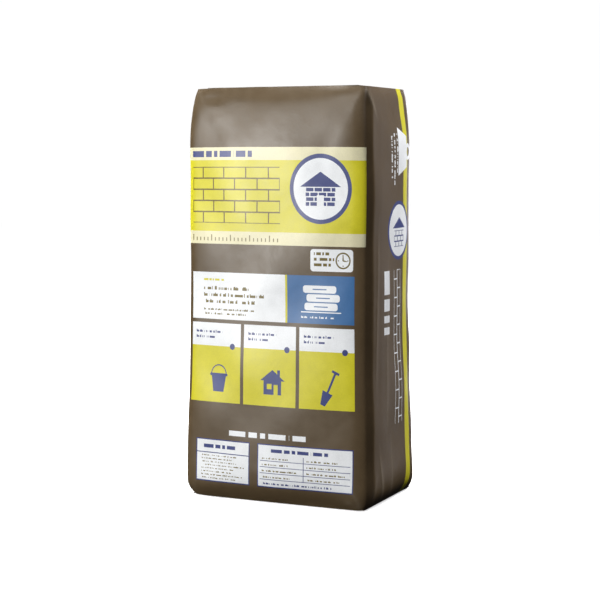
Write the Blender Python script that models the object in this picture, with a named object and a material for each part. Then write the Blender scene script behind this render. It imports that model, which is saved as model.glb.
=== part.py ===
"""A filled 25 kg cement bag, standing on its pasted bottom.

The bag is a block-bottom paper valve sack: a tube folded flat and pasted at both ends, with a cover
sheet over each pasted end and a flattened paper sleeve as the filling valve in the top end.
Metres, +Z up. The front looks along -Y, and the origin is on the ground under the middle of the bag.
"""

import math

import bmesh
import bpy

# The filled bag's largest outside sizes.
BAG_WIDTH = 0.276
BAG_DEPTH = 0.174
BAG_HEIGHT = 0.535

# The powder settles, so the bag is fullest near the ground and slimmer above that.
FULLEST_HEIGHT = 0.036
SLIM_HEIGHT = 0.272
SLIM_WIDTH = 0.0044
SLIM_DEPTH = 0.0050

# The walls draw in towards each flat end: by these amounts in width and depth, over this much height.
BOTTOM_ROLL_HEIGHT = 0.048
BOTTOM_INSET_WIDTH = 0.0135
BOTTOM_INSET_DEPTH = 0.0080
TOP_ROLL_HEIGHT = 0.080
TOP_INSET_WIDTH = 0.0095
TOP_INSET_DEPTH = 0.0118
TOP_TAPER_POWER = 1.6
TOP_EDGE_RADIUS = 0.0025

# Squareness of the plan outline: 2 is an ellipse, and a large number is a rectangle.
BODY_SQUARENESS = 9.0
END_SQUARENESS = 16.0

# The faces bulge: the share of the bag's depth, and of its width, that is lost towards the corners.
FRONT_CROWN = 0.05
SIDE_CROWN = 0.02

# Cover sheets over the pasted ends, with the paste line as a gap under each.
# Each sheet is length, width and thickness.
COVER_THICKNESS = 0.0005
TOP_COVER = (0.212, 0.114, COVER_THICKNESS)
BOTTOM_COVER = (0.224, 0.130, COVER_THICKNESS)
COVER_CORNER = 0.004
PASTE_GAP = 0.0003

# The flattened valve sleeve, let into the top at the left-hand end and partly under the cover sheet.
# Its open end stops a little short of the edge.
SLEEVE = (0.072, 0.096, 0.0006)
SLEEVE_CORNER = 0.001
SLEEVE_SETBACK = 0.003
POCKET_PAST_EDGE = 0.010

# How finely the skin is drawn, and the angle past which its shading shows a fold.
SEGMENTS_PER_SIDE = 16
BODY_RINGS = 14
ROLL_RINGS = 7
EDGE_RINGS = 3
FOLD_ANGLE = math.radians(50)

SACK_BASE = COVER_THICKNESS + PASTE_GAP
SACK_TOP = BAG_HEIGHT - COVER_THICKNESS - PASTE_GAP


def clear_scene():
    for thing in list(bpy.data.objects):
        bpy.data.objects.remove(thing, do_unlink=True)


def paper(name, colour, roughness):
    """A Principled material with one colour, for a kind of paper."""
    material = bpy.data.materials.new(name)
    material.use_nodes = True
    shader = material.node_tree.nodes["Principled BSDF"]
    shader.inputs["Base Color"].default_value = (*colour, 1.0)
    shader.inputs["Roughness"].default_value = roughness
    shader.inputs["Metallic"].default_value = 0.0
    return material


def add_object(name, mesh, material):
    thing = bpy.data.objects.new(name, mesh)
    bpy.context.scene.collection.objects.link(thing)
    mesh.materials.append(material)
    return thing


def smooth_step(share):
    share = min(1.0, max(0.0, share))
    return share * share * (3.0 - 2.0 * share)


def plan_outline(half_width, half_depth, squareness):
    """Points of a rounded rectangle with crowned sides, anticlockwise, closer together at its corners."""
    sides = [math.sin(math.pi / 2 * (2 * step / SEGMENTS_PER_SIDE - 1)) for step in range(SEGMENTS_PER_SIDE)]
    square = [(1.0, s) for s in sides]
    square += [(-s, 1.0) for s in sides]
    square += [(-1.0, -s) for s in sides]
    square += [(s, -1.0) for s in sides]
    outline = []
    for across, along in square:
        reach = (abs(across) ** squareness + abs(along) ** squareness) ** (-1.0 / squareness)
        u, v = across * reach, along * reach
        x = half_width * u * (1.0 - SIDE_CROWN * v * v)
        y = half_depth * v * (1.0 - FRONT_CROWN * u * u)
        outline.append((x, y))
    return outline


def wall_at(height):
    """(half width, half depth, squareness) of the bag's wall at a height above the ground."""
    slim = smooth_step((height - FULLEST_HEIGHT) / (SLIM_HEIGHT - FULLEST_HEIGHT))
    below = min(1.0, max(0.0, 1.0 - (height - SACK_BASE) / BOTTOM_ROLL_HEIGHT))
    above = min(1.0, max(0.0, 1.0 - (SACK_TOP - height) / TOP_ROLL_HEIGHT))
    tuck = 1.0 - math.sqrt(1.0 - below * below)
    taper = above ** TOP_TAPER_POWER
    half_width = BAG_WIDTH / 2 - SLIM_WIDTH * slim - BOTTOM_INSET_WIDTH * tuck - TOP_INSET_WIDTH * taper
    half_depth = BAG_DEPTH / 2 - SLIM_DEPTH * slim - BOTTOM_INSET_DEPTH * tuck - TOP_INSET_DEPTH * taper
    squareness = BODY_SQUARENESS + (END_SQUARENESS - BODY_SQUARENESS) * max(below, above) ** 2
    return half_width, half_depth, squareness


def ring_heights():
    """Heights of the wall's rings: close together where the wall curves, and even along the body."""
    bottom = [
        SACK_BASE + BOTTOM_ROLL_HEIGHT * (1.0 - math.cos(math.pi / 2 * step / ROLL_RINGS))
        for step in range(ROLL_RINGS)
    ]
    body_low = SACK_BASE + BOTTOM_ROLL_HEIGHT
    body_high = SACK_TOP - TOP_ROLL_HEIGHT
    body = [body_low + (body_high - body_low) * step / BODY_RINGS for step in range(BODY_RINGS)]
    edge_low = SACK_TOP - TOP_EDGE_RADIUS
    top = [body_high + (edge_low - body_high) * step / ROLL_RINGS for step in range(ROLL_RINGS + 1)]
    return bottom + body + top


def sack_mesh():
    """The filled sack as one closed skin: lofted walls, a turned-in top edge and two flat ends."""
    outlines = [(height, plan_outline(*wall_at(height))) for height in ring_heights()]
    half_width, half_depth, squareness = wall_at(SACK_TOP - TOP_EDGE_RADIUS)
    for step in range(1, EDGE_RINGS + 1):
        turn = math.pi / 2 * step / EDGE_RINGS
        drawn_in = TOP_EDGE_RADIUS * (1.0 - math.cos(turn))
        height = SACK_TOP - TOP_EDGE_RADIUS * (1.0 - math.sin(turn))
        outlines.append((height, plan_outline(half_width - drawn_in, half_depth - drawn_in, squareness)))
    skin = bmesh.new()
    rings = []
    for height, outline in outlines:
        rings.append([skin.verts.new((x, y, height)) for x, y in outline])
    for lower, upper in zip(rings, rings[1:]):
        for corner in range(len(lower)):
            following = (corner + 1) % len(lower)
            skin.faces.new((lower[corner], lower[following], upper[following], upper[corner]))
    skin.faces.new(reversed(rings[0]))
    skin.faces.new(rings[-1])
    mesh = bpy.data.meshes.new("sack")
    skin.to_mesh(mesh)
    skin.free()
    mesh.shade_smooth()
    mesh.set_sharp_from_angle(angle=FOLD_ANGLE)
    return mesh


def add_sheet(name, size, corner, material, location):
    """A flat sheet of paper with its four corners cut off, placed by the middle of its underside."""
    x, y = size[0] / 2, size[1] / 2
    outline = [
        (x, -y + corner), (x, y - corner), (x - corner, y), (-x + corner, y),
        (-x, y - corner), (-x, -y + corner), (-x + corner, -y), (x - corner, -y),
    ]
    sheet = bmesh.new()
    face = sheet.faces.new([sheet.verts.new((px, py, 0.0)) for px, py in outline])
    lifted = bmesh.ops.extrude_face_region(sheet, geom=[face])["geom"]
    raised = [element for element in lifted if isinstance(element, bmesh.types.BMVert)]
    bmesh.ops.translate(sheet, verts=raised, vec=(0.0, 0.0, size[2]))
    bmesh.ops.recalc_face_normals(sheet, faces=sheet.faces)
    mesh = bpy.data.meshes.new(name)
    sheet.to_mesh(mesh)
    sheet.free()
    thing = add_object(name, mesh, material)
    thing.location = location
    return thing


def cut_valve_pocket(sack, sleeve_x):
    """Lets the sleeve into the top of the sack, with the pocket open at the left-hand end."""
    inner_end = sleeve_x + SLEEVE[0] / 2 + PASTE_GAP
    length = SLEEVE[0] + SLEEVE_SETBACK + POCKET_PAST_EDGE
    depth = SLEEVE[2] + PASTE_GAP
    size = (length, SLEEVE[1] + 2 * PASTE_GAP, 2 * depth)
    location = (inner_end - length / 2, 0.0, SACK_TOP - depth)
    cutter = add_sheet("valve_pocket", size, SLEEVE_CORNER, sack.data.materials[0], location)
    cutter.hide_render = True
    cutter.display_type = "WIRE"
    cut = sack.modifiers.new("valve_pocket", "BOOLEAN")
    cut.operation = "DIFFERENCE"
    cut.object = cutter


def build():
    clear_scene()
    printed_paper = paper("printed_sack_paper", (0.148, 0.119, 0.086), 0.42)
    cover_paper = paper("cover_paper", (0.120, 0.095, 0.070), 0.55)
    valve_paper = paper("valve_paper", (0.420, 0.290, 0.170), 0.70)

    sack = add_object("sack", sack_mesh(), printed_paper)

    add_sheet("bottom_cover_sheet", BOTTOM_COVER, COVER_CORNER, cover_paper, (0.0, 0.0, 0.0))
    add_sheet("top_cover_sheet", TOP_COVER, COVER_CORNER, cover_paper, (0.0, 0.0, SACK_TOP + PASTE_GAP))

    flat_end = -wall_at(SACK_TOP)[0] + TOP_EDGE_RADIUS
    sleeve_x = flat_end + SLEEVE_SETBACK + SLEEVE[0] / 2
    add_sheet("valve_sleeve", SLEEVE, SLEEVE_CORNER, valve_paper, (sleeve_x, 0.0, SACK_TOP - SLEEVE[2]))
    cut_valve_pocket(sack, sleeve_x)


build()
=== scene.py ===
"""Looks of a filled 25 kg cement bag, standing upright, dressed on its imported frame.

The bag is a block-bottom paper valve sack. Its paper tube is filled by a cloth simulation, brought to the
frame's outline, creased where such sacks are folded, and printed with a plain generic design. Metres, +Z up.
The printed front faces -Y. Places on the paper are given on the flat sheet: u runs round the tube from the
front's left-hand edge, and v runs up from the bottom edge.
"""
import math
from collections import namedtuple
from contextlib import contextmanager
from functools import partial

import bpy
import numpy as np
from bpy.props import FloatProperty, FloatVectorProperty, IntProperty, PointerProperty
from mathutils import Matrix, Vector


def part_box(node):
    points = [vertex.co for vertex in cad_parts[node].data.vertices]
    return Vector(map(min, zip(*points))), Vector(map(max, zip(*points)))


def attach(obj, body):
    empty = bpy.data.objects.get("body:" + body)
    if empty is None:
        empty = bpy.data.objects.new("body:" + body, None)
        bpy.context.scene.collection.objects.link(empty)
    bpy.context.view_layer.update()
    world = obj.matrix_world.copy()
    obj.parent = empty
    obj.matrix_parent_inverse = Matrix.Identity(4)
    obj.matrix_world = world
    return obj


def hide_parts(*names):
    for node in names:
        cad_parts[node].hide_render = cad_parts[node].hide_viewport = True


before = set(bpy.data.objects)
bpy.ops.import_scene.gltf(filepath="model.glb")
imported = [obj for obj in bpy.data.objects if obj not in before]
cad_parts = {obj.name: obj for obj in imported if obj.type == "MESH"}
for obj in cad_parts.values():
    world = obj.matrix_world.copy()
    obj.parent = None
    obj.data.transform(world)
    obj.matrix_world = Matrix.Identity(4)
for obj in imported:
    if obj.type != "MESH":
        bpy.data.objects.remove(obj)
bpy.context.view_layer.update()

bl_info = {
    "name": "Cement bag",
    "version": (1, 0, 0),
    "blender": (4, 5, 0),
    "location": "View3D > Sidebar > Cement bag",
    "description": "Fills, creases and prints a paper valve sack of cement and lights it",
    "category": "Object",
}

MM = 0.001
# Places closer than this, in metres, are the same.
CLOSE = 1e-5
# The most cuts that one subdivision makes.
MOST_CUTS = 100
# The sharpest bend that is shaded smooth, on the sack and on the pasted sheets.
SACK_SMOOTHING = math.radians(50.0)
SHEET_SMOOTHING = math.radians(40.0)

# How far from each end the walls draw in.
BOTTOM_ROLL = 0.048
TOP_ROLL = 0.080

SACK_LOW, SACK_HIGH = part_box("sack")
SACK_HEIGHT = SACK_HIGH.z - SACK_LOW.z
TOP_SHEET_LOW, TOP_SHEET_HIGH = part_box("top_cover_sheet")
SLEEVE_LOW, SLEEVE_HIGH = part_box("valve_sleeve")


def srgb(code):
    """A linear colour from an sRGB hex code such as #8A7C68."""
    parts = [int(code[at:at + 2], 16) / 255.0 for at in (1, 3, 5)]
    return tuple(part / 12.92 if part <= 0.04045 else ((part + 0.055) / 1.055) ** 2.4 for part in parts)


def length_setting(name, description, default):
    """A length that can be set, in metres."""
    return FloatProperty(name=name, description=description, default=default, unit="LENGTH")


def ink_setting(name, description, code):
    """A colour that can be set, given as its sRGB hex code."""
    return FloatVectorProperty(
        name=name, description=description, subtype="COLOR", size=3, default=srgb(code))


class SackSizes(bpy.types.PropertyGroup):
    """The paper tube and how it is filled and creased."""
    front_width: length_setting("Front panel", "Width of the tube's front and back panels", 0.262)
    side_width: length_setting("Side panel", "Width of the tube's two side panels", 0.153)
    cell: length_setting("Mesh cell", "Size of the cells that the paper is cut into", 0.005)
    end_squareness: FloatProperty(
        name="End squareness", description="How square the two pasted ends are", default=30.0)
    front_crown: FloatProperty(
        name="Front crown", description="Share of its depth that the front loses at its sides", default=0.08)
    pressure: FloatProperty(
        name="Fill pressure", description="How hard the powder pushes the paper out", default=6.0)
    folding: FloatProperty(
        name="Folding", description="Share of the settled folds and bulges kept near the ends",
        default=0.20, subtype="FACTOR")
    body_folding: FloatProperty(
        name="Folding of the body",
        description="The same share half-way up, where powder fills the paper out",
        default=0.10, subtype="FACTOR")
    most_give: length_setting("Most give", "The furthest that the paper may settle", 0.007)
    frames: IntProperty(
        name="Settling time", description="Frames that the filled paper settles for", default=20)
    fold_height: length_setting("Fold height", "How far a pasted corner fold stands proud", 0.0002)
    heel: length_setting("Heel", "How far the front stands proud just above the roll of its bottom", 0.0019)
    shoulder: length_setting("Shoulder", "How far the front stands proud just below its top edge", 0.0012)
    unevenness: length_setting("Unevenness", "How uneven the settled powder leaves the faces", 0.0007)
    rim_sag: length_setting("Rim sag", "How much lower a pasted end is at its corners", 0.0012)
    ply: length_setting("Paper thickness", "Thickness of the folded plies at the ends", 0.0005)


class PrintColours(bpy.types.PropertyGroup):
    """The inks of the print, and the bare papers. The pale crease paper is also a painted highlight along the
    raised folds.
    """
    ground: ink_setting("Ground", "Brown that covers the whole sack", "#5B4C37")
    yellow: ink_setting("Yellow", "Yellow of the band, the tiles and the stripe", "#D3CC2B")
    cream: ink_setting("Cream", "Cream of the band's two edges", "#E3DEBA")
    white: ink_setting("White", "White of the panels and the small marks", "#EFF3F8")
    blue: ink_setting("Blue", "Mid blue of the notice", "#3E6EA4")
    navy: ink_setting("Navy", "Dark blue of the borders, the seal and the pictures", "#39447F")
    umber: ink_setting("Umber", "Dark brown of the line pattern", "#6B5D22")
    # Pale paper along the raised creases: partly ink that is rubbed off, partly a painted highlight along the
    # crease ridges.
    rubbed_and_highlit: ink_setting("Rubbed", "Pale paper that shows where a crease has lost its ink", "#BFB5A6")
    kraft: ink_setting("Kraft", "Unprinted sack kraft of the valve sleeve", "#B8936A")


class StageSizes(bpy.types.PropertyGroup):
    """Where the camera stands, and how bright the softboxes are."""
    camera_turn: FloatProperty(
        name="Camera turn", description="How far round the camera stands from the front",
        default=math.radians(24.78), subtype="ANGLE")
    camera_distance: length_setting("Camera distance", "From the bag's axis, along the floor", 2.053)
    camera_height: length_setting("Camera height", "Height of the camera above the floor", 0.4472)
    camera_dip: FloatProperty(
        name="Camera dip", description="How far the camera looks down",
        default=math.radians(5.291), subtype="ANGLE")
    lens: FloatProperty(
        name="Lens", description="Focal length in millimetres on a 36 mm sensor", default=93.59)
    softbox_distance: length_setting("Softbox distance", "How far each softbox hangs from the bag", 2.2)
    brightness: FloatProperty(
        name="Brightness", description="Power of a softbox whose share is 1", default=40.0)
    floor_glow: FloatProperty(
        name="Floor glow", description="Light that the pale floor gives off, as seen", default=0.7)


# Selecting, shaping and measuring

def deselect_all():
    bpy.ops.object.select_all(action="DESELECT")


def select_only(thing):
    """Makes one object the selected and active one."""
    deselect_all()
    thing.select_set(True)
    bpy.context.view_layer.objects.active = thing


@contextmanager
def edit_mode():
    """Edit mode for the active object, and object mode afterwards."""
    bpy.ops.object.mode_set(mode="EDIT")
    yield
    bpy.ops.object.mode_set(mode="OBJECT")


def pick(mesh, elements, wanted):
    """Leaves edit mode's selection on those points, edges or faces that pass the test."""
    for element in (*mesh.vertices, *mesh.edges, *mesh.polygons):
        element.select = False
    for element in elements:
        element.select = bool(wanted(element))


def cut_across(thing, axis, length, cuts):
    """Cuts the edges that run the object's whole length along an axis."""
    mesh = thing.data
    places = [point.co[axis] for point in mesh.vertices]

    def runs_along(edge):
        first, second = edge.vertices
        return abs(places[first] - places[second]) > 0.9 * length

    pick(mesh, mesh.edges, runs_along)
    with edit_mode():
        bpy.ops.mesh.select_mode(type="EDGE")
        bpy.ops.mesh.subdivide(number_cuts=cuts)


def sized(name, scale):
    """Names the new primitive, gives it its size, and applies its size and place."""
    thing = bpy.context.object
    thing.name = thing.data.name = name
    thing.scale = scale
    bpy.ops.object.transform_apply(location=True, rotation=False, scale=True)
    return thing


def add_modifier(thing, kind, **settings):
    """Adds a modifier with its settings and applies it."""
    modifier = thing.modifiers.new(kind.lower(), kind)
    for name, value in settings.items():
        setattr(modifier, name, value)
    select_only(thing)
    bpy.ops.object.modifier_apply(modifier=modifier.name)


def read(items, name="co", width=3):
    """One property of each of a mesh's items, as an array with a row for each."""
    flat = np.empty(len(items) * width)
    items.foreach_get(name, flat)
    return flat.reshape(-1, width)


def smooth_step(share):
    share = np.clip(share, 0.0, 1.0)
    return share * share * (3.0 - 2.0 * share)


# The paper tube

def block_of_cells(name, size, base, cell):
    """A block cut into nearly square cells on every side: the tube and its ends before filling."""
    deselect_all()
    bpy.ops.mesh.primitive_cube_add(size=1.0, location=(0.0, 0.0, base + size[2] / 2))
    block = sized(name, size)
    for axis, length in enumerate(size):
        cut_across(block, axis, length, min(round(length / cell) - 1, MOST_CUTS))
    return block


def lay_out_sheet(block, size, base):
    """Unrolls the block's walls into the UV map Sheet, in metres, with the two ends laid above and below."""
    width, depth, height = size
    apart = 0.05
    mesh = block.data
    sheet = mesh.uv_layers.new(name="Sheet")
    for face in mesh.polygons:
        facing = tuple(round(part) for part in face.normal)
        for loop in face.loop_indices:
            x, y, z = mesh.vertices[mesh.loops[loop].vertex_index].co
            places = {
                (0, -1, 0): (x + width / 2, z - base),
                (1, 0, 0): (width + y + depth / 2, z - base),
                (0, 1, 0): (width + depth + width / 2 - x, z - base),
                (-1, 0, 0): (-y - depth / 2, z - base),
                (0, 0, 1): (x + width / 2, height + apart + y + depth / 2),
                (0, 0, -1): (x + width / 2, -apart + y - depth / 2),
            }
            sheet.data[loop].uv = places[facing]


LongEdge = namedtuple("LongEdge", "across along squareness side_crown facets")
# The four long edges of the bag. The one next to the camera is pressed into facets, and the front's left-hand
# one is a crisp fold. across and along say which way each edge lies from the bag's axis.
LONG_EDGES = (
    LongEdge(1.0, -1.0, 16.0, 0.045, 1.0),
    LongEdge(-1.0, -1.0, 40.0, 0.069, 0.0),
    LongEdge(1.0, 1.0, 16.0, 0.045, 0.5),
    LongEdge(-1.0, 1.0, 20.0, 0.050, 0.5),
)
# Where a faceted edge is creased, measured round the tube from its middle.
EDGE_CREASES = (-0.0122, -0.0010, 0.0125, 0.0340)
# How late an edge turns square as it nears an end.
SQUARING = 6
# How fast the creases of an edge spread from an end, and the least that they are spread.
CREASE_SPREAD = 4.0
LEAST_SPREAD = 0.05
# Points from the middle of a wall to its edge.
WALL_POINTS = 200


def frame_reach(heights):
    """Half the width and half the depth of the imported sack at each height."""
    points = read(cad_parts["sack"].data.vertices)
    levels, counts = np.unique(np.round(points[:, 2], 4), return_counts=True)
    # The few points between the full rings belong to the valve's pocket.
    levels = levels[counts > 40]
    rings = [points[np.abs(points[:, 2] - level) < 0.0001] for level in levels]
    half_widths = [np.abs(ring[:, 0]).max() for ring in rings]
    half_depths = [np.abs(ring[:, 1]).max() for ring in rings]
    return np.interp(heights, levels, half_widths), np.interp(heights, levels, half_depths)


def plan_quarter(half_width, half_depth, edge, near_end, sizes):
    """A quarter of the bag's outline in plan, from the middle of the front to the middle of the side.

    Returns its points and how far along it each one is: 0 at the start, 1 at the edge and 2 at the end.
    """
    squareness = edge.squareness + (sizes.end_squareness - edge.squareness) * near_end ** SQUARING
    crowning = 1.0 - near_end ** 2
    turn = np.linspace(0.0, 1.0, WALL_POINTS)
    across = np.concatenate((turn, np.ones(WALL_POINTS - 1)))
    along = np.concatenate((np.ones(WALL_POINTS), turn[-2::-1]))
    reach = (across ** squareness + along ** squareness) ** (-1.0 / squareness)
    u, v = across * reach, along * reach
    x = half_width * u * (1.0 - edge.side_crown * crowning * v * v)
    y = half_depth * v * (1.0 - sizes.front_crown * crowning * u * u)
    run = np.concatenate(([0.0], np.cumsum(np.hypot(np.diff(x), np.diff(y)))))
    corner = run[WALL_POINTS - 1]
    # The creases of an edge run out from its corner, and lie closer together near an end.
    spread = max(LEAST_SPREAD, min(1.0, CREASE_SPREAD * (1.0 - near_end)))
    creases = corner + spread * np.array(EDGE_CREASES)
    creased = np.where((run > creases[0]) & (run < creases[-1]), edge.facets, 0.0)
    x = x + creased * (np.interp(run, creases, np.interp(creases, run, x)) - x)
    y = y + creased * (np.interp(run, creases, np.interp(creases, run, y)) - y)
    share = np.where(run < corner, run / corner, 1.0 + (run - corner) / (run[-1] - corner))
    return x, y, share


def wrapped(flat, size, rows, sizes):
    """Wraps each level of the block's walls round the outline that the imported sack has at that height."""
    width, depth, _ = size
    sign_x = np.where(flat[:, 0] < 0, -1.0, 1.0)
    sign_y = np.where(flat[:, 1] < 0, -1.0, 1.0)
    far_x, far_y = np.abs(flat[:, 0]), np.abs(flat[:, 1])
    on_panel = np.abs(far_y - depth / 2) < CLOSE
    run = np.where(on_panel, far_x / (width / 2), 2.0 - far_y / (depth / 2))
    filled = flat.copy()
    for row in rows:
        height = flat[row[0], 2] - SACK_LOW.z
        half_width, half_depth = frame_reach(flat[row[0], 2])
        near_end = max(1.0 - height / BOTTOM_ROLL, 1.0 - (SACK_HEIGHT - height) / TOP_ROLL, 0.0)
        for edge in LONG_EDGES:
            quarter = row[(sign_x[row] == edge.across) & (sign_y[row] == edge.along)]
            x, y, share = plan_quarter(half_width, half_depth, edge, near_end, sizes)
            filled[quarter, 0] = edge.across * np.interp(run[quarter], share, x)
            filled[quarter, 1] = edge.along * np.interp(run[quarter], share, y)
    return filled


# Stiff, well damped sack paper, held where it belongs to the group ends.
PAPER_CLOTH = {
    "quality": 8,
    "mass": 0.2,
    "tension_stiffness": 60.0,
    "compression_stiffness": 60.0,
    "shear_stiffness": 40.0,
    "bending_model": "ANGULAR",
    "bending_stiffness": 10.0,
    "tension_damping": 15.0,
    "compression_damping": 15.0,
    "shear_damping": 15.0,
    "bending_damping": 1.0,
    "air_damping": 3.0,
    "use_pressure": True,
    "vertex_group_mass": "ends",
}


def fill_with_powder(block, start, cut, pinned, sizes):
    """Runs the cloth simulation that fills the tube, and returns the settled points."""
    block.shape_key_add(name="Basis")
    paper_cut = block.shape_key_add(name="cut")
    paper_cut.data.foreach_set("co", cut.ravel())
    block.data.shape_keys.key_blocks["Basis"].data.foreach_set("co", start.ravel())
    ends = block.vertex_groups.new(name="ends")
    ends.add([int(index) for index in np.flatnonzero(pinned)], 1.0, "REPLACE")
    modifier = block.modifiers.new("filling", "CLOTH")
    paper = modifier.settings
    for name, value in PAPER_CLOTH.items():
        setattr(paper, name, value)
    paper.uniform_pressure_force = sizes.pressure
    paper.rest_shape_key = paper_cut
    paper.effector_weights.gravity = 0.0
    modifier.collision_settings.use_collision = False
    modifier.collision_settings.use_self_collision = False
    modifier.point_cache.frame_start = 1
    modifier.point_cache.frame_end = sizes.frames
    for moment in range(1, sizes.frames + 1):
        bpy.context.scene.frame_set(moment)
    settled = block.evaluated_get(bpy.context.evaluated_depsgraph_get())
    points = read(settled.data.vertices)
    block.modifiers.remove(modifier)
    block.vertex_groups.clear()
    block.shape_key_clear()
    bpy.context.scene.frame_set(1)
    return points


# The settling is averaged over this many rows of cells to each side, with this reach, in rows.
AVERAGED_ROWS = 24
AVERAGING_REACH = 9.0
# How far from an end the body begins, over what length, and how far the pasted rim holds the paper still.
BODY_START = 0.09
BODY_BLEND = 0.10
HELD_RIM = 0.014


def kept_settling(moved, flat, rows, height, sizes):
    """The part of the settling that stiff powder allows: its local folds, mostly near the two ends."""
    order = np.argsort(np.arctan2(flat[rows[0], 1], flat[rows[0], 0]))
    rings = np.array([row[order] for row in rows])
    steps = np.arange(-AVERAGED_ROWS, AVERAGED_ROWS + 1)
    weights = np.exp(-(steps / AVERAGING_REACH) ** 2)
    padded = np.pad(moved[rings], ((AVERAGED_ROWS, AVERAGED_ROWS), (0, 0), (0, 0)), mode="edge")
    first_rows = AVERAGED_ROWS + steps
    slow = sum(weight * padded[first:first + len(rows)] for first, weight in zip(first_rows, weights))
    slow /= weights.sum()
    kept = np.zeros_like(moved)
    kept[rings] = moved[rings] - slow
    from_end = np.minimum(height, SACK_HEIGHT - height)
    body = smooth_step((from_end - BODY_START) / BODY_BLEND)
    share = sizes.folding + (sizes.body_folding - sizes.folding) * body
    kept *= (share * smooth_step(from_end / HELD_RIM))[:, None]
    travel = np.linalg.norm(kept, axis=1, keepdims=True)
    return kept * sizes.most_give / np.maximum(travel, sizes.most_give)


def brought_to_frame(points, rows):
    """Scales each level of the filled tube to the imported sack's width and depth at that height."""
    heights = np.array([points[row, 2].mean() for row in rows])
    fitted = points.copy()
    for axis, wanted in enumerate(frame_reach(heights)):
        for row, reach in zip(rows, wanted):
            fitted[row, axis] *= reach / np.abs(points[row, axis]).max()
    return fitted


# How many plies the folded paper sinks by, inside the rims of the top and of the bottom.
TOP_SINK = 2.8
BOTTOM_SINK = 1.8


def sagged_ends(points, inside_end, sizes):
    """Lets the corners of both ends sag, and sinks the folded paper inside each rim for its flaps."""
    bottom_share = 0.5
    share = (points[:, 2] - SACK_LOW.z) / SACK_HEIGHT
    on_top = share > 0.5
    sag = sizes.rim_sag * np.clip(np.abs(points[:, 0]) / (sizes.front_width / 2), 0.0, 1.0) ** 3
    sag *= np.where(on_top, 1.0, bottom_share)
    sag += np.where(inside_end, np.where(on_top, TOP_SINK, BOTTOM_SINK) * sizes.ply - sag, 0.0)
    sagged = points.copy()
    sagged[:, 2] += sag * (1.0 - 2.0 * share)
    return sagged


WornCorner = namedtuple("WornCorner", "across along top pull reach")
# The corners of the two ends that are pushed in, or out where the pull is below 0, and how far up or down the
# edge that shows.
WORN_CORNERS = (
    WornCorner(-1.0, -1.0, True, 0.0040, 0.030),
    WornCorner(-1.0, -1.0, False, 0.0042, 0.036),
    WornCorner(1.0, 1.0, True, 0.0012, 0.020),
    WornCorner(1.0, 1.0, False, -0.0014, 0.014),
    WornCorner(-1.0, 1.0, True, 0.0030, 0.022),
)
# How far round its corner a knock reaches, and its push along the bag as a share of its push across.
KNOCK_REACH = 0.014
KNOCK_ALONG = 0.6


def worn_corners(points):
    """Pushes in the corners that knocks have rounded."""
    worn = points.copy()
    for corner in WORN_CORNERS:
        end = SACK_HIGH.z if corner.top else SACK_LOW.z
        half_width, half_depth = frame_reach(end)
        off_corner = np.hypot(points[:, 0] - corner.across * half_width,
                              points[:, 1] - corner.along * half_depth)
        near = np.exp(-((points[:, 2] - end) / corner.reach) ** 2 - (off_corner / KNOCK_REACH) ** 2)
        worn[:, 0] -= corner.across * corner.pull * near
        worn[:, 1] -= corner.along * KNOCK_ALONG * corner.pull * near
    return worn


# How sharp subdivision leaves the rims of the two ends, and how far the paper is cut from its filled shape.
RIM_SHARPNESS = 0.95
CUT_SHARE = 0.5


def filled_tube(sizes):
    """The tube, cut, folded square at both ends, filled and brought to the frame's outline."""
    size = (sizes.front_width, sizes.side_width, SACK_HEIGHT)
    base = SACK_LOW.z
    block = block_of_cells("printed_sack", size, base, sizes.cell)
    lay_out_sheet(block, size, base)
    flat = read(block.data.vertices)
    height = flat[:, 2] - base
    levels, level_of = np.unique(np.round(height, 4), return_inverse=True)
    on_bottom, on_top = height < CLOSE, height > SACK_HEIGHT - CLOSE
    on_end = on_bottom | on_top
    on_wall = (np.abs(flat[:, 0]) > size[0] / 2 - CLOSE) | (np.abs(flat[:, 1]) > size[1] / 2 - CLOSE)
    rows = [np.flatnonzero((level_of == level) & on_wall) for level in range(len(levels))]

    start = wrapped(flat, size, rows, sizes)
    inside_end = on_end & ~on_wall
    for end in (on_bottom, on_top):
        rim = start[end & on_wall]
        for axis in (0, 1):
            start[inside_end & end, axis] *= np.abs(rim[:, axis]).max() / (size[axis] / 2)

    settled = start
    cut = start + (flat - start) * np.where(on_end, 0.0, CUT_SHARE)[:, None]
    settled = fill_with_powder(block, start, cut, on_end, sizes)
    moved = kept_settling(settled - start, flat, rows, height, sizes)
    fitted = brought_to_frame(start + moved, rows)
    fitted = worn_corners(sagged_ends(fitted, inside_end, sizes))
    block.data.vertices.foreach_set("co", fitted.ravel())
    block.data.update()
    on_rim = on_end & on_wall
    sharpness = block.data.attributes.new("crease_edge", "FLOAT", "EDGE")
    sharpness.data.foreach_set("value", [RIM_SHARPNESS * on_rim[list(edge.vertices)].all()
                                         for edge in block.data.edges])
    add_modifier(block, "SUBSURF", levels=1, render_levels=1, uv_smooth="NONE")
    return block


# The folds and dents of the filled paper

Fold = namedtuple("Fold", "start end reach height")
Dent = namedtuple("Dent", "middle size depth")

# The height of a fold that is paled the most, by rubbed ink and by a painted highlight along its ridge.
RUBBED_AND_HIGHLIT_HEIGHT = 0.0010
# Where along its length a fold starts to fade, and how much of it is gone at its far end.
FADE_START = 0.45
FADED = 0.85
# The sheet's length round the tube.
GIRTH = 0.83


def on_walls(places):
    """Which places lie on the tube's walls, and not on its two ends."""
    return (places[:, 1] > -MM) & (places[:, 1] < SACK_HEIGHT + MM)


def sheet_places(mesh):
    """Each point's place (u, v) on the flat sheet. Points that a wall shares with an end take the wall's."""
    place = read(mesh.uv_layers["Sheet"].data, "uv", 2)
    corner = read(mesh.loops, "vertex_index", 1)[:, 0].astype(int)
    on_wall = on_walls(place)
    places = np.empty((len(mesh.vertices), 2))
    for chosen in (~on_wall, on_wall):
        places[corner[chosen]] = place[chosen]
    return places


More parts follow.
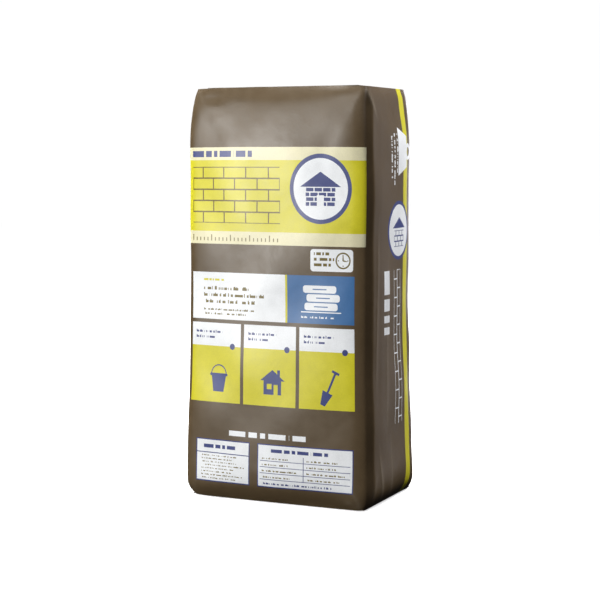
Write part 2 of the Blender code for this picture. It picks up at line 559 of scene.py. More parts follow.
def along_fold(places, fold):
    """How close each place is to a fold, from 0 to 1, fading out towards the fold's far end."""
    start, end = np.array(fold.start), np.array(fold.end)
    line = end - start
    offset = places - start
    share = np.clip(offset @ line / np.linalg.norm(line) ** 2, 0.0, 1.0)
    distance = np.linalg.norm(offset - share[:, None] * line, axis=1)
    fading = smooth_step((share - FADE_START) / (1.0 - FADE_START))
    return np.exp(-distance / fold.reach) * (1.0 - FADED * fading)


def in_dent(places, dent):
    """A soft hollow: 1 at its middle and nearly 0 beyond its size."""
    steepness = 1.5
    offset = (places - np.array(dent.middle)) / np.array(dent.size)
    return np.exp(-(offset ** 2).sum(axis=1) * steepness)


def corner_folds(sizes):
    """The diagonal folds that run from each corner of both ends to the middle of the side panels."""
    width, depth = sizes.front_width, sizes.side_width
    clear, reach = 0.010, 0.0016
    folds = []
    for left in (width, -depth):
        for corner, across in ((left, 1.0), (left + depth, -1.0)):
            for edge, inward in ((0.0, 1.0), (SACK_HEIGHT, -1.0)):
                start = (corner + across * clear, edge + inward * clear)
                tip = (left + depth / 2, edge + inward * depth / 2)
                folds.append(Fold(start, tip, reach, sizes.fold_height))
    return folds


def small_folds(sizes):
    """Short creases in the paper near the ends, listed one by one. Those of a height below 0 are pressed in.
    """
    width = sizes.front_width
    top = SACK_HEIGHT
    return [
        Fold((width + 0.001, top - 0.003), (width + 0.027, top - 0.040), 0.0016, 0.0010),
        Fold((width - 0.002, top - 0.004), (width - 0.018, top - 0.028), 0.0020, 0.0004),
        Fold((width - 0.004, top - 0.010), (width - 0.009, top - 0.060), 0.0030, 0.0003),
        Fold((0.006, top - 0.003), (0.026, top - 0.026), 0.0020, 0.0004),
        Fold((0.037, top - 0.042), (0.075, top - 0.034), 0.0030, 0.0003),
        Fold((width + 0.024, 0.250), (width + 0.021, 0.130), 0.0030, 0.0005),
        Fold((width + 0.024, 0.250), (width + 0.028, 0.370), 0.0030, 0.0005),
        Fold((width + 0.052, 0.210), (width + 0.046, 0.060), 0.0045, 0.0006),
        Fold((width + 0.052, 0.210), (width + 0.058, 0.330), 0.0045, 0.0006),
        Fold((width + 0.034, 0.012), (width + 0.026, 0.080), 0.0030, 0.0007),
        Fold((width + 0.058, 0.010), (width + 0.062, 0.095), 0.0035, 0.0006),
        Fold((width - 0.004, 0.004), (width - 0.022, 0.030), 0.0024, 0.0005),
        Fold((width + 0.008, 0.004), (width + 0.020, 0.052), 0.0026, 0.0005),
        Fold((0.006, 0.004), (0.018, 0.030), 0.0024, 0.0004),
        Fold((0.055, 0.0105), (0.235, 0.0150), 0.0018, -0.0006),
        Fold((0.150, 0.0120), (0.030, 0.0155), 0.0018, -0.0005),
        Fold((width - 0.006, 0.005), (width - 0.040, 0.0165), 0.0022, 0.0005),
    ]


def dents(sizes):
    """Soft hollows below the top edge, where the powder has sunk away, and one swelling (depth below 0)."""
    top = SACK_HEIGHT
    return [
        Dent((0.036, top - 0.013), (0.024, 0.009), 0.0016),
        Dent((0.150, top - 0.010), (0.060, 0.008), 0.0008),
        Dent((0.246, top - 0.046), (0.036, 0.038), -0.0012),
        Dent((sizes.front_width + 0.090, top - 0.030), (0.035, 0.022), 0.0012),
    ]


def shoulder(places, sizes):
    """The wall leans in above a soft shoulder a little below the top edge, most of all in mid-panel.

    The shoulder rises, in slight waves, from the front's left-hand edge to its right-hand one.
    """
    front, side = sizes.front_width, sizes.side_width
    left_drop, less_on_right, fade = 0.019, 0.009, 0.035
    wave_height, wave_rate = 0.0012, 73.0
    below = SACK_HEIGHT - places[:, 1]
    drop = left_drop - less_on_right * np.clip(places[:, 0] / front, 0.0, 1.0)
    drop += wave_height * np.sin(places[:, 0] * wave_rate)
    rise = np.clip(below / drop, 0.0, 1.0)
    fall = np.exp(-(np.maximum(below - drop, 0.0) / fade) ** 2)
    from_front = np.mod(places[:, 0], front + side)
    on_front = from_front < front
    width = np.where(on_front, front, side)
    off_middle = np.abs(2 * (from_front - np.where(on_front, 0.0, front)) / width - 1.0)
    side_share = 0.3
    return rise * fall * (1.0 - off_middle ** 4) * np.where(on_front, 1.0, side_share)


def heel(places, sizes):
    """The wall rolls under below a soft crease a little above the bottom edge, higher on the right."""
    left_rise, more_on_right, fade = 0.0155, 0.0035, 0.030
    above = places[:, 1]
    rise = left_rise + more_on_right * np.clip(places[:, 0] / sizes.front_width, 0.0, 1.0)
    return np.clip(above / rise, 0.0, 1.0) * np.exp(-(np.maximum(above - rise, 0.0) / fade) ** 2)


def unevenness(places):
    """A smooth uneven surface, nearly all of it between -1 and 1, the same each time."""
    waves, fewest_round, most_round = 14, 2, 10
    shortest_rise = 0.10
    most_of_sum = 4.0
    draw = np.random.default_rng(25)
    total = np.zeros(len(places))
    for _ in range(waves):
        across = 2 * math.pi / GIRTH * draw.integers(fewest_round, most_round + 1)
        up = draw.uniform(-2 * math.pi / shortest_rise, 2 * math.pi / shortest_rise)
        total += np.sin(places[:, 0] * across + places[:, 1] * up + draw.uniform(0.0, 2 * math.pi))
    return total / most_of_sum


def crease_paper(sack, sizes):
    """Presses the folds, dents and the glued lap into the filled paper, and marks where it is creased. The
    mark pales the print along the raised folds, partly as rubbed ink and partly as a painted highlight.
    """
    mesh = sack.data
    places = sheet_places(mesh)
    on_wall = on_walls(places)
    proud = np.zeros(len(places))
    worn = np.zeros(len(places))
    for fold in corner_folds(sizes) + small_folds(sizes):
        near = along_fold(places, fold)
        proud += near * fold.height
        # How far each raised fold pales the print: rubbed ink, and a highlight painted along its ridge. Folds
        # pressed in get none.
        worn = np.maximum(worn, near * np.clip(fold.height / RUBBED_AND_HIGHLIT_HEIGHT, 0.0, 1.0) ** 2)
    for dent in dents(sizes):
        proud -= in_dent(places, dent) * dent.depth
    proud += shoulder(places, sizes) * sizes.shoulder + heel(places, sizes) * sizes.heel
    proud += unevenness(places) * sizes.unevenness

    lap_start, lap_thickness, lap_slope = sizes.front_width + sizes.side_width + 0.060, 0.0006, 0.002
    proud += lap_thickness * smooth_step((places[:, 0] - lap_start) / lap_slope)
    from_edge = np.minimum(places[:, 1], SACK_HEIGHT - places[:, 1])
    still_edge = 0.004
    proud *= smooth_step(from_edge / still_edge) * on_wall
    moved = read(mesh.vertices) + read(mesh.vertices, "normal") * proud[:, None]
    mesh.vertices.foreach_set("co", moved.ravel())
    mark = mesh.attributes.new("crease", "FLOAT", "POINT")
    mark.data.foreach_set("value", worn * on_wall)
    mesh.update()


# The folded ends

# How many plies thick a flap is, and how many its outer edge dips by.
FLAP_PLIES = 1.5
FLAP_DIP = 1.6


def pasted_flap(level, facing, side, sizes):
    """One of the two long flaps of a folded end: a trapezium whose slanting ends follow the diagonal folds.

    level is where the flap's upper side lies. facing is 1 at the top and -1 at the bottom, and side is 1 for
    the back and -1 for the front. The flap's outer edge dips into the fold that it comes from.
    """
    half_width, half_depth = frame_reach(level)
    inset = 0.0016
    width, reach = 2 * (half_width - inset), half_depth - inset
    deselect_all()
    bpy.ops.mesh.primitive_grid_add(x_subdivisions=48, y_subdivisions=14, size=1.0, calc_uvs=False,
                                    location=(0.0, side * reach / 2, level))
    flap = sized("pasted_flap", (width, reach, 1.0))
    pick(flap.data, flap.data.vertices, lambda point: abs(point.co.y) > reach - MM)
    with edit_mode():
        bpy.ops.transform.translate(value=(0.0, 0.0, -facing * FLAP_DIP * sizes.ply))
        for end in (-1.0, 1.0):
            bpy.ops.mesh.select_all(action="SELECT")
            bpy.ops.mesh.bisect(plane_co=(end * width / 2, side * reach, level), plane_no=(end, -side, 0.0),
                                clear_outer=True)
    add_modifier(flap, "SOLIDIFY", thickness=FLAP_PLIES * sizes.ply, offset=-1.0)
    points = read(flap.data.vertices)
    worn = worn_corners(sagged_ends(points, np.zeros(len(points), dtype=bool), sizes))
    flap.data.vertices.foreach_set("co", worn.ravel())
    sheet = flap.data.uv_layers.new(name="Sheet")
    for loop in flap.data.loops:
        x = flap.data.vertices[loop.vertex_index].co.x
        sheet.data[loop.index].uv = (x + sizes.front_width / 2, SACK_HEIGHT + 0.02)
    return flap


def paste_flaps(sack, sizes):
    """Joins the long flaps of both folded ends to the tube that they are part of."""
    top, bottom = SACK_HIGH.z - sizes.ply, SACK_LOW.z + FLAP_DIP * sizes.ply
    flaps = [pasted_flap(level, facing, side, sizes)
             for level, facing in ((top, 1.0), (bottom, -1.0)) for side in (-1.0, 1.0)]
    select_only(sack)
    for flap in flaps:
        flap.select_set(True)
    bpy.ops.object.join()


def cover_sheet(name, ply):
    """The rectangular sheet pasted over the folded top end, slightly puckered by its paste."""
    low, high = TOP_SHEET_LOW, TOP_SHEET_HIGH
    paste_sink, pucker_height = 0.4 * ply, 1.2 * ply
    middle = ((low.x + high.x) / 2, (low.y + high.y) / 2, low.z - paste_sink)
    deselect_all()
    bpy.ops.mesh.primitive_grid_add(x_subdivisions=52, y_subdivisions=28, size=1.0, location=middle)
    sheet = sized(name, (high.x - low.x, high.y - low.y, 1.0))
    clouds = bpy.data.textures.new("paste_puckers", "CLOUDS")
    clouds.noise_scale = 0.035
    clouds.noise_depth = 1
    add_modifier(sheet, "DISPLACE", texture=clouds, direction="Z", mid_level=0.5, strength=pucker_height)
    add_modifier(sheet, "SOLIDIFY", thickness=ply, offset=1.0)
    bpy.ops.object.shade_smooth_by_angle(angle=SHEET_SMOOTHING)
    return sheet


def paper_sleeve(name, ply):
    """The flattened two-ply sleeve through which the bag is filled. Its outer mouth stands slightly open."""
    low, high = SLEEVE_LOW, SLEEVE_HIGH
    sunk_plies = 2.6
    floor = SACK_HIGH.z - sunk_plies * ply
    mouth_half_width, mouth_opening, mouth_reach = 0.022, 3.0 * ply, 0.024
    deselect_all()
    bpy.ops.mesh.primitive_cube_add(size=1.0, location=((low.x + high.x) / 2, 0.0, floor + ply / 2))
    size = Vector((high.x - low.x, high.y - low.y, ply))
    sleeve = sized(name, size)
    for axis, cuts in ((0, 17), (1, 23)):
        cut_across(sleeve, axis, size[axis], cuts)
    mesh = sleeve.data
    pick(mesh, mesh.polygons, lambda face: face.normal.x < -0.5)
    with edit_mode():
        bpy.ops.mesh.delete(type="FACE")
    pick(mesh, mesh.vertices, lambda point: point.co.x < low.x + MM and point.co.z > floor + ply / 2
         and abs(point.co.y) < mouth_half_width)
    with edit_mode():
        bpy.ops.transform.translate(value=(0.0, 0.0, mouth_opening), use_proportional_edit=True,
                                    proportional_edit_falloff="SMOOTH", proportional_size=mouth_reach,
                                    use_proportional_connected=True)
    add_modifier(sleeve, "SOLIDIFY", thickness=0.3 * ply, offset=-1.0)
    bpy.ops.object.shade_smooth_by_angle(angle=SHEET_SMOOTHING)
    return sleeve


# Materials

MATH = "ShaderNodeMath"
VECTOR_MATH = "ShaderNodeVectorMath"


def add_node(tree, kind, inputs=(), **settings):
    """Adds a node with its settings. Its inputs are given in order or by name.

    Each is a value, a socket to link, or a node, which stands for its first output.
    """
    node = tree.nodes.new(kind)
    for name, value in settings.items():
        setattr(node, name, value)
    for name, value in inputs.items() if isinstance(inputs, dict) else enumerate(inputs):
        if isinstance(value, bpy.types.Node):
            value = value.outputs[0]
        if isinstance(value, bpy.types.NodeSocket):
            tree.links.new(value, node.inputs[name])
        else:
            node.inputs[name].default_value = value
    return node


def new_material(name):
    """An empty material, what adds its nodes, and its Principled shader's inputs."""
    material = bpy.data.materials.new(name)
    material.use_nodes = True
    tree = material.node_tree
    return material, partial(add_node, tree), tree.nodes["Principled BSDF"].inputs


def new_group(name, inputs, outputs):
    """An empty node group: what adds its nodes, and its inputs. Sockets are given by name and kind."""
    tree = bpy.data.node_groups.new(name, "ShaderNodeTree")
    for way, sockets in (("INPUT", inputs), ("OUTPUT", outputs)):
        for socket, kind in sockets.items():
            tree.interface.new_socket(socket, in_out=way, socket_type="NodeSocket" + kind)
    return partial(add_node, tree), add_node(tree, "NodeGroupInput").outputs


ALONG = (1.0, 0.0, 0.0)
UP = (0.0, 1.0, 0.0)
# The radius, in millimetres, of a printed corner that is meant to be sharp.
SHARP = 0.01
# A row of printed words may end this share short of its width.
RAGGED = 0.32
# Two runs of gaps between words: how often each comes, its shift from row to row, and its share of ink.
WORD_GAPS = ((1.0, 0.37, 0.84), (0.63, 0.71, 0.90))
# Of the strokes of small print, the share that has ink, the share that stands tall, and how much lower the
# others are.
STROKES_INKED = 0.74
STROKES_TALL = 0.18
LOWER_BY = 0.30


def new_form(name, vectors, numbers):
    """A node group that tells, for a place on the sheet in millimetres, whether a printed form covers it."""
    inputs = {**dict.fromkeys(("Sheet", *vectors), "Vector"), **dict.fromkeys(numbers, "Float")}
    return new_group("printed_" + name, inputs, {"Ink": "Float"})


def box_form():
    """A box by its middle, the half size of its core and the radius of its corners round the core."""
    add, given = new_form("box", ("Middle", "Core"), ("Corner",))
    offset = add(VECTOR_MATH, (given["Sheet"], given["Middle"]), operation="SUBTRACT")
    far = add(VECTOR_MATH, (offset,), operation="ABSOLUTE")
    beyond = add(VECTOR_MATH, (far, given["Core"]), operation="SUBTRACT")
    outside = add(VECTOR_MATH, (beyond, (0.0, 0.0, 0.0)), operation="MAXIMUM")
    distance = add(VECTOR_MATH, (outside,), operation="LENGTH").outputs["Value"]
    add("NodeGroupOutput", {"Ink": add(MATH, (distance, given["Corner"]), operation="LESS_THAN")})


def wedge_form():
    """A box that narrows upwards by its taper, 1 for a triangle, and may be turned, in radians."""
    add, given = new_form("wedge", ("Middle", "Size"), ("Taper", "Turn"))
    offset = add(VECTOR_MATH, (given["Sheet"], given["Middle"]), operation="SUBTRACT")
    turned = add("ShaderNodeVectorRotate", {"Vector": offset, "Angle": given["Turn"]}, rotation_type="Z_AXIS")
    share = add(VECTOR_MATH, (turned, given["Size"]), operation="DIVIDE")
    along, up = (add(VECTOR_MATH, (share, way), operation="DOT_PRODUCT").outputs["Value"]
                 for way in (ALONG, UP))
    raised = add(MATH, (up, 0.5), operation="ADD")
    narrowed = add(MATH, (raised, given["Taper"]), operation="MULTIPLY")
    half_width = add(MATH, (narrowed, -0.5, 0.5), operation="MULTIPLY_ADD")
    far = add(MATH, (along,), operation="ABSOLUTE")
    within = add(MATH, (far, half_width), operation="LESS_THAN")
    level = add(MATH, (up, 0.0, 0.5), operation="COMPARE")
    add("NodeGroupOutput", {"Ink": add(MATH, (within, level), operation="MULTIPLY")})


def ring_form():
    """A ring by its middle and two radii, or a disc where the inner radius is 0."""
    add, given = new_form("ring", ("Middle",), ("Outer", "Inner"))
    offset = add(VECTOR_MATH, (given["Sheet"], given["Middle"]), operation="SUBTRACT")
    distance = add(VECTOR_MATH, (offset,), operation="LENGTH").outputs["Value"]
    disc, hole = (add(MATH, (distance, given[radius]), operation="LESS_THAN")
                  for radius in ("Outer", "Inner"))
    add("NodeGroupOutput", {"Ink": add(MATH, (disc, hole), operation="SUBTRACT")})


def bond_form():
    """The joints of a running brick bond, inside a box."""
    add, given = new_form("bond", ("Corner", "Middle", "Core"), ("Length", "Height", "Joint"))
    offset = add(VECTOR_MATH, (given["Sheet"], given["Corner"]), operation="SUBTRACT")
    bricks = {"Vector": offset, "Scale": 1.0, "Mortar Size": given["Joint"], "Mortar Smooth": 0.0,
              "Brick Width": given["Length"], "Row Height": given["Height"]}
    joints = add("ShaderNodeTexBrick", bricks, offset=0.5, offset_frequency=2, squash=1.0).outputs["Fac"]
    limits = {**{socket: given[socket] for socket in ("Sheet", "Middle", "Core")}, "Corner": SHARP}
    inside = add("ShaderNodeGroup", limits, node_tree=bpy.data.node_groups["printed_box"])
    add("NodeGroupOutput", {"Ink": add(MATH, (joints, inside), operation="MULTIPLY")})


def words_form():
    """Rows of bars, as long as words, from a lower left corner. Stroke above 0 breaks them up finely."""
    add, given = new_form("words", ("Corner",), ("Width", "Pitch", "Rows", "Letter", "Word", "Stroke"))
    offset = add(VECTOR_MATH, (given["Sheet"], given["Corner"]), operation="SUBTRACT")
    along, up = (add(VECTOR_MATH, (offset, way), operation="DOT_PRODUCT").outputs["Value"]
                 for way in (ALONG, UP))
    level = add(MATH, (up, given["Pitch"]), operation="DIVIDE")
    row = add(MATH, (level,), operation="FLOOR")
    rise = add(MATH, (level,), operation="FRACT")
    rise = add(MATH, (rise, given["Pitch"]), operation="MULTIPLY")

    # Each row ends somewhere in its last third.
    ragged = add("ShaderNodeTexWhiteNoise", {"W": row}, noise_dimensions="1D").outputs["Value"]
    shortened = add(MATH, (ragged, -RAGGED, 1.0), operation="MULTIPLY_ADD")
    row_end = add(MATH, (shortened, given["Width"]), operation="MULTIPLY")
    started = add(MATH, (along, 0.0), operation="GREATER_THAN")
    ended = add(MATH, (along, row_end), operation="LESS_THAN")
    above = add(MATH, (up, 0.0), operation="GREATER_THAN")
    below = add(MATH, (row, given["Rows"]), operation="LESS_THAN")

    # The two runs of gaps make words of many lengths.
    words = add(MATH, (along, given["Word"]), operation="DIVIDE")
    filled = []
    for rate, shift, share in WORD_GAPS:
        run = add(MATH, (row, shift), operation="MULTIPLY")
        run = add(MATH, (words, rate, run), operation="MULTIPLY_ADD")
        run = add(MATH, (run,), operation="FRACT")
        filled.append(add(MATH, (run, share), operation="LESS_THAN"))
    ink = add(MATH, filled, operation="MULTIPLY")

    # Fine strokes of two heights, where the words are small print.
    stroke = add(MATH, (given["Stroke"], 0.01), operation="MAXIMUM")
    count = add(MATH, (along, stroke), operation="DIVIDE")
    count = add(MATH, (count,), operation="FLOOR")
    key = add("ShaderNodeCombineXYZ", (count, row))
    chance = add("ShaderNodeTexWhiteNoise", {"Vector": key}, noise_dimensions="2D").outputs["Value"]
    small = add(MATH, (given["Stroke"], 0.0), operation="GREATER_THAN")
    chance = add(MATH, (chance, small), operation="MULTIPLY")
    inked = add(MATH, (chance, STROKES_INKED), operation="LESS_THAN")
    low = add(MATH, (chance, STROKES_TALL), operation="GREATER_THAN")
    height = add(MATH, (low, -LOWER_BY, 1.0), operation="MULTIPLY_ADD")
    height = add(MATH, (height, given["Letter"]), operation="MULTIPLY")
    within = add(MATH, (rise, height), operation="LESS_THAN")
    for part in (inked, within, started, ended, above, below):
        ink = add(MATH, (ink, part), operation="MULTIPLY")
    add("NodeGroupOutput", {"Ink": ink})


# The print. Each shape is a form, its ink and its place on the sheet, in millimetres.

Shape = namedtuple("Shape", "form ink place reads_down", defaults=(False,))


def box(ink, left, low, right, high, corner=SHARP):
    middle = ((left + right) / 2, (low + high) / 2, 0.0)
    core = ((right - left) / 2 - corner, (high - low) / 2 - corner, 0.0)
    return Shape("box", ink, {"Middle": middle, "Core": core, "Corner": corner})


def wedge(ink, x, y, width, height, taper, turn=0.0):
    return Shape("wedge", ink, {"Middle": (x, y, 0.0), "Size": (width, height, 1.0), "Taper": taper,
                                "Turn": math.radians(turn)})


def ring(ink, x, y, outer, inner=0.0):
    return Shape("ring", ink, {"Middle": (x, y, 0.0), "Outer": outer, "Inner": inner})


def bond(ink, left, low, right, high, length, height, joint):
    limits = box(ink, left, low, right, high).place
    return Shape("bond", ink, {"Corner": (left, low, 0.0), "Middle": limits["Middle"], "Core": limits["Core"],
                               "Length": length, "Height": height, "Joint": joint / 2})


def words(ink, left, low, width, letter, pitch=None, rows=1, word=16.0, stroke=0.0):
    return Shape("words", ink, {"Corner": (left, low, 0.0), "Width": width, "Pitch": pitch or letter * 1.5,
                                "Rows": float(rows), "Letter": letter, "Word": word, "Stroke": stroke})


# Where the sheet's panels begin, and the levels of the print, in millimetres.
RIGHT_SIDE = 262.0
BACK = 415.0
SHEET_END = 677.0
LEFT_SIDE = -153.0
BAND = (333.0, 457.2)
BAND_EDGE = 16.4
NOTICE = (235.0, 296.0)
TILES = (126.5, 230.0)
TABLES = (21.5, 77.5)
FRONT_SPLIT = 232.5
STRIPE_WIDTH = 17.0
SEAL_RADIUS = 44.0
SEAL_LEVEL = 405.0


def band(left, right):
    """The yellow band and its two cream edges."""
    low, high = BAND
    return [
        box("cream", left, low, right, high),
        box("yellow", left, low + BAND_EDGE, right, high - BAND_EDGE),
    ]


def brickwork(left, right):
    """A line drawing of brickwork on the band."""
    low, high = BAND
    return bond("umber", left, low + 27, right, high - 25, 34.0, 14.4, 1.9)


def seal(x):
    """A ringed white disc on the band, with a small brick house."""
    y = SEAL_LEVEL
    return [
        ring("navy", x, y, SEAL_RADIUS),
        ring("white", x, y, SEAL_RADIUS - 5.5),
        wedge("navy", x, y + 12, 58, 19, 1.0),
        box("navy", x - 21, y - 22, x + 21, y + 2),
        bond("white", x - 21, y - 22, x + 21, y + 2, 12, 6, 1.5),
        box("white", x - 5, y - 22, x + 5, y - 8),
    ]


def dial_badge(left, low):
    """A rounded white badge with a plain dial."""
    x, y = left + 46.0, low + 14.0
    marks = [(x + 6.6 * math.cos(angle), y + 6.6 * math.sin(angle)) for angle in np.arange(4) * math.pi / 2]
    return [
        box("white", left, low, left + 60, low + 28, corner=4.0),
        words("umber", left + 5, low + 6.5, 30, 3.6, pitch=7.0, rows=3, word=13.0),
        ring("umber", x, y, 10.5),
        ring("white", x, y, 8.6),
        wedge("umber", x, y + 3.5, 2.2, 7.0, 0.5),
        wedge("umber", x + 2.6, y - 0.4, 1.9, 5.4, 0.5, turn=100.0),
        *[ring("umber", *mark, 0.8) for mark in marks],
    ]


def notice():
    """A white notice with small print, and a blue end with a stack of three bags."""
    low, high = NOTICE
    split, right = 152.0, 248.0
    stack = []
    for course, shift in enumerate((0.0, 3.0, -2.0)):
        middle, floor = 201.0 + shift, low + 17.0 + 11.0 * course
        stack.append(box("white", middle - 24, floor, middle + 24, floor + 9.5, corner=3.5))
        stack.append(box("blue", middle - 10, floor + 4.0, middle + 10, floor + 5.4))
    return [
        box("white", 4.0, low, split, high),
        box("blue", split, low, right, high),
        box("yellow", split - 3.0, low, split, high),
        words("yellow", 22, high - 11, 40, 2.6, word=9.0),
        words("umber", 22, low + 21, 100, 4.6, pitch=8.6, rows=3, word=19.0, stroke=1.5),
        words("umber", 22, low + 6, 84, 2.6, pitch=5.6, rows=2, word=11.0, stroke=1.1),
        *stack,
        box("white", 172, low + 14, 230, low + 15.4),
        words("white", 170, low + 7, 62, 2.6, word=14.0, stroke=1.1),
    ]


def bucket(x, y):
    return [
        ring("navy", x, y + 7, 12.5, 11.0),
        box("yellow", x - 14, y - 16, x + 14, y + 7),
        wedge("navy", x, y - 5, 26, 22, 0.0),
        wedge("yellow", x - 13.4, y - 5, 7.0, 24, 0.0, turn=-9.0),
        wedge("yellow", x + 13.4, y - 5, 7.0, 24, 0.0, turn=9.0),
        box("navy", x - 14, y + 4.5, x + 14, y + 8, corner=1.5),
    ]


def little_house(x, y):
    return [
        wedge("navy", x, y + 10, 36, 14, 1.0),
        box("navy", x - 13, y - 15, x + 13, y + 4),
        box("navy", x + 7, y + 6, x + 11, y + 17),
        box("yellow", x - 8, y - 8, x - 1, y - 1),
        box("yellow", x + 2, y - 15, x + 8, y - 2),
    ]


def shovel(x, y):
    return [
        wedge("navy", x + 2.0, y + 4.0, 3.0, 28, 0.0, turn=24.0),
        wedge("navy", x + 8.0, y + 17.6, 11, 3.2, 0.0, turn=24.0),
        wedge("navy", x - 7.0, y - 16.0, 15, 18, 0.55, turn=204.0),
    ]


def tiles():
    """Three tiles, each with a white head and a picture on yellow below it."""
    low, high = TILES
    head = high - 30.0
    width, gap = 78.0, 5.0
    made = []
    for number, picture in enumerate((bucket, little_house, shovel)):
        left = 4.0 + number * (width + gap)
        made += [
            box("yellow", left, low, left + width, high),
            box("white", left, head, left + width, high),
            words("navy", left + 4, high - 13, 56, 3.6, pitch=7.0, word=15.0, stroke=1.3),
            words("navy", left + 4, high - 20, 40, 3.6, pitch=7.0, word=12.0, stroke=1.3),
            box("navy", left + width - 17, head - 4, left + width - 9, head + 4, corner=4.0),
            *picture(left + 44, low + 30),
        ]
    return made


def tables():
    """Two white tables with dark blue frames and small print."""
    low, high = TABLES
    frame_line = 1.4
    made = []
    for left, right in ((15.0, 98.0), (110.0, 246.0)):
        made.append(box("navy", left, low, right, high))
        made.append(box("white", left + frame_line, low + frame_line, right - frame_line, high - frame_line))
    return [
        *made,
        words("navy", 27, high - 12, 60, 4.8, word=18.0),
        box("navy", 15, high - 18.6, 98, high - 17.4),
        words("umber", 24, low + 4, 66, 1.7, pitch=4.2, rows=8, word=9.0, stroke=0.8),
        words("navy", 130, high - 10.5, 100, 4.4, word=19.0),
        *[box("navy", 114, low + at, 242, low + at + 0.8) for at in (10.0, 18.0, 26.0, 34.0)],
        box("navy", 176, low + 10, 177, low + 42),
        words("umber", 117, low + 12.6, 52, 2.2, pitch=8.0, rows=4, word=10.0, stroke=0.9),
        words("umber", 181, low + 12.6, 58, 2.2, pitch=8.0, rows=4, word=12.0, stroke=0.9),
        words("navy", 117, low + 4, 122, 2.6, word=14.0, stroke=1.0),
    ]


def headline(left, right):
    """Brickwork and a row of words on the band, with a plain rule of ticks on its lower edge."""
    low, high = BAND
    spacing, tick_width, tick, long_tick = 6.0, 1.5, 8.5, 12
    places = [left + spacing * step for step in range(int((right - left) / spacing) + 1)]
    return [
        brickwork(left, right),
        words("navy", left, high - 12.5, right - left - 20, 8.0, word=22.0),
        *[box("umber", place, low + 4, place + tick_width, low + (tick if number % 5 else long_tick))
          for number, place in enumerate(places)],
    ]


def upper_front_print():
    return [
        *band(LEFT_SIDE, RIGHT_SIDE + 1.8),
        *headline(5.0, 141.0),
        *seal(200.0),
        *dial_badge(186.0, 301.5),
        *notice(),
    ]


def lower_front_print():
    return [*tiles(), words("white", 66.0, 84.0, 140.0, 6.8, word=30.0), *tables()]


def side_stripe(left):
    return box("yellow", left, -5.0, left + STRIPE_WIDTH, 540.0)


def downward_print(left):
    """Print that reads downwards on a side panel. Places are down from the top and across from a line."""
    shapes = (
        wedge("white", 81.0, left + 106.0, 62.0, 34.0, 0.35),
        ring("white", 81.0, left + 129.0, 11.0, 6.0),
        words("white", 58.0, left + 66.0, 70.0, 4.0, pitch=9.0, rows=3, word=13.0, stroke=1.6),
        bond("white", 233.0, left + 75.0, 433.0, left + 99.0, 24.0, 12.0, 1.7),
        words("white", 233.0, left + 43.0, 100.0, 16.0, word=36.0),
    )
    return [shape._replace(reads_down=True) for shape in shapes]


def side_seal(x, y):
    return [
        ring("navy", x, y, 38.0),
        ring("white", x, y, 33.5),
        wedge("navy", x, y + 10, 44.0, 14.0, 1.0),
        bond("navy", x - 17, y - 21, x + 17, y, 11.0, 7.0, 1.6),
    ]


def left_side_print():
    return [side_stripe(LEFT_SIDE + 28.0), *band(LEFT_SIDE - 1.0, 1.0), *downward_print(LEFT_SIDE - 8.0),
            *side_seal(LEFT_SIDE + 92.0, 300.0)]


def right_side_print():
    return [side_stripe(RIGHT_SIDE + 109.5), *band(RIGHT_SIDE - 1.0, RIGHT_SIDE + 1.8),
            *downward_print(RIGHT_SIDE), *side_seal(RIGHT_SIDE + 92.0, 351.0)]


def back_print():
    left, right = BACK + 22.0, SHEET_END - 12.0
    low, high = 118.0, 300.0
    return [
        *band(BACK + 25.0, SHEET_END + 1.0),
        *seal(BACK + 76.0),
        brickwork(BACK + 132.0, SHEET_END + 1.0),
        box("white", left, low, right, high),
        words("navy", left + 10, 284.0, 120, 6.0, word=24.0),
        box("navy", left + 10, 277.0, right - 10, 278.2),
        words("umber", left + 10, low + 58, 96, 2.6, pitch=6.4, rows=15, word=11.0, stroke=1.0),
        words("umber", left + 122, low + 58, 96, 2.6, pitch=6.4, rows=15, word=12.0, stroke=1.0),
        *[box("yellow", left + at, low + 10, left + at + 56, low + 48) for at in (10.0, 86.0, 162.0)],
        words("white", left + 48, 92.0, 130.0, 6.8, word=30.0),
    ]


